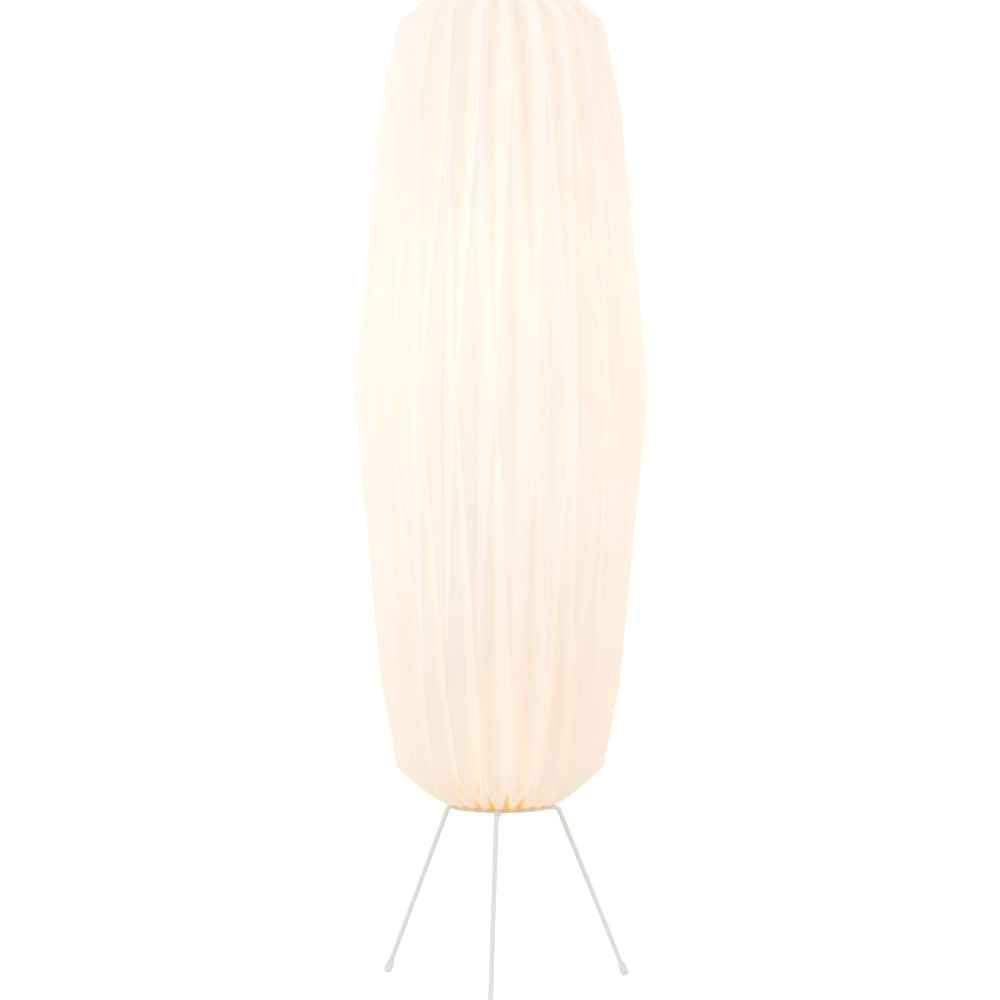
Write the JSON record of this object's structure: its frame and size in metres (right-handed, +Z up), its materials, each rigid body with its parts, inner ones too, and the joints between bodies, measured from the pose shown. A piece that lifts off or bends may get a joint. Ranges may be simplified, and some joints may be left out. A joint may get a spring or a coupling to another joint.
{
  "type": "paper lantern floor lamp",
  "caption": "Tall pleated paper lantern floor lamp on a three-legged wire stand; the shade lifts off over a stem that carries an upright E27 bulb.",
  "frame": {"origin": "on the floor, on the axis of the lantern, at the centre of the bounding box's bottom", "axes": "+Z up along the lantern's axis; -Y faces the viewer, towards the front leg; +X to the viewer's right"},
  "size_m": [0.3506, 0.3506, 1.2001],
  "materials": {
    "paper": "white translucent pleated paper, lit from inside",
    "tab_paper": "white paper, glued",
    "ring_wire": "white powder coat",
    "leg_wire": "white powder coat, satin",
    "foot": "soft moulded plastic",
    "hub": "white powder coat on steel",
    "screw_steel": "zinc plated",
    "gland": "moulded nylon",
    "stem": "white powder coat, satin",
    "thread_steel": "zinc plated, threaded",
    "lead": "insulated copper core",
    "holder": "white moulded plastic",
    "ceramic": "white, semi-matt",
    "brass": "spring brass",
    "bulb_metal": "pressed",
    "bulb_black": "black vitrite",
    "solder": "solder",
    "bulb_body": "white moulded plastic",
    "bulb_globe": "frosted, glowing warm white",
    "board": "white coated board",
    "led": "yellow phosphor"
  },
  "bodies": {
    "stand": {"leg_front": "leg_wire", "leg_left": "leg_wire", "leg_right": "leg_wire", "foot_cap_front": "foot", "foot_cap_left": "foot", "foot_cap_right": "foot", "ring_saddle_front": "leg_wire", "ring_saddle_left": "leg_wire", "ring_saddle_right": "leg_wire", "hub": "hub", "leg_set_screws": "screw_steel", "cord_gland": "gland", "gland_nut": "gland", "stem_tube": "stem", "holder_nipple": "thread_steel", "holder_washer": "thread_steel", "nipple_nut": "thread_steel", "inner_leads": "lead", "lampholder_cap": "holder", "lampholder_insert": "ceramic", "centre_contact": "brass", "side_contact": "brass", "terminal_screws": "screw_steel", "lampholder_shell": "holder"},
    "bulb": {"bulb_screw_cap": "bulb_metal", "bulb_insulator": "bulb_black", "bulb_tip_contact": "solder", "bulb_housing": "bulb_body", "bulb_globe": "bulb_globe", "bulb_led_board": "board", "bulb_leds": "led"},
    "shade": {"paper_sheet_front_right": "paper", "paper_sheet_back_right": "paper", "paper_sheet_back_left": "paper", "paper_sheet_front_left": "paper", "seam_strip_front": "tab_paper", "seam_strip_right": "tab_paper", "seam_strip_back": "tab_paper", "seam_strip_left": "tab_paper", "bottom_ring": "ring_wire", "top_ring": "ring_wire", "bottom_ring_tabs": "tab_paper", "top_ring_tabs": "tab_paper"}
  },
  "joints": [
    {"name": "shade_lift", "type": "slide", "parent": "stand", "child": "shade", "axis": [0, 0, 1], "range_m": [0, 0.65]},
    {"name": "bulb_unscrew", "type": "slide", "parent": "stand", "child": "bulb", "axis": [0, 0, 1], "range_m": [0, 0.06]}
  ]
}
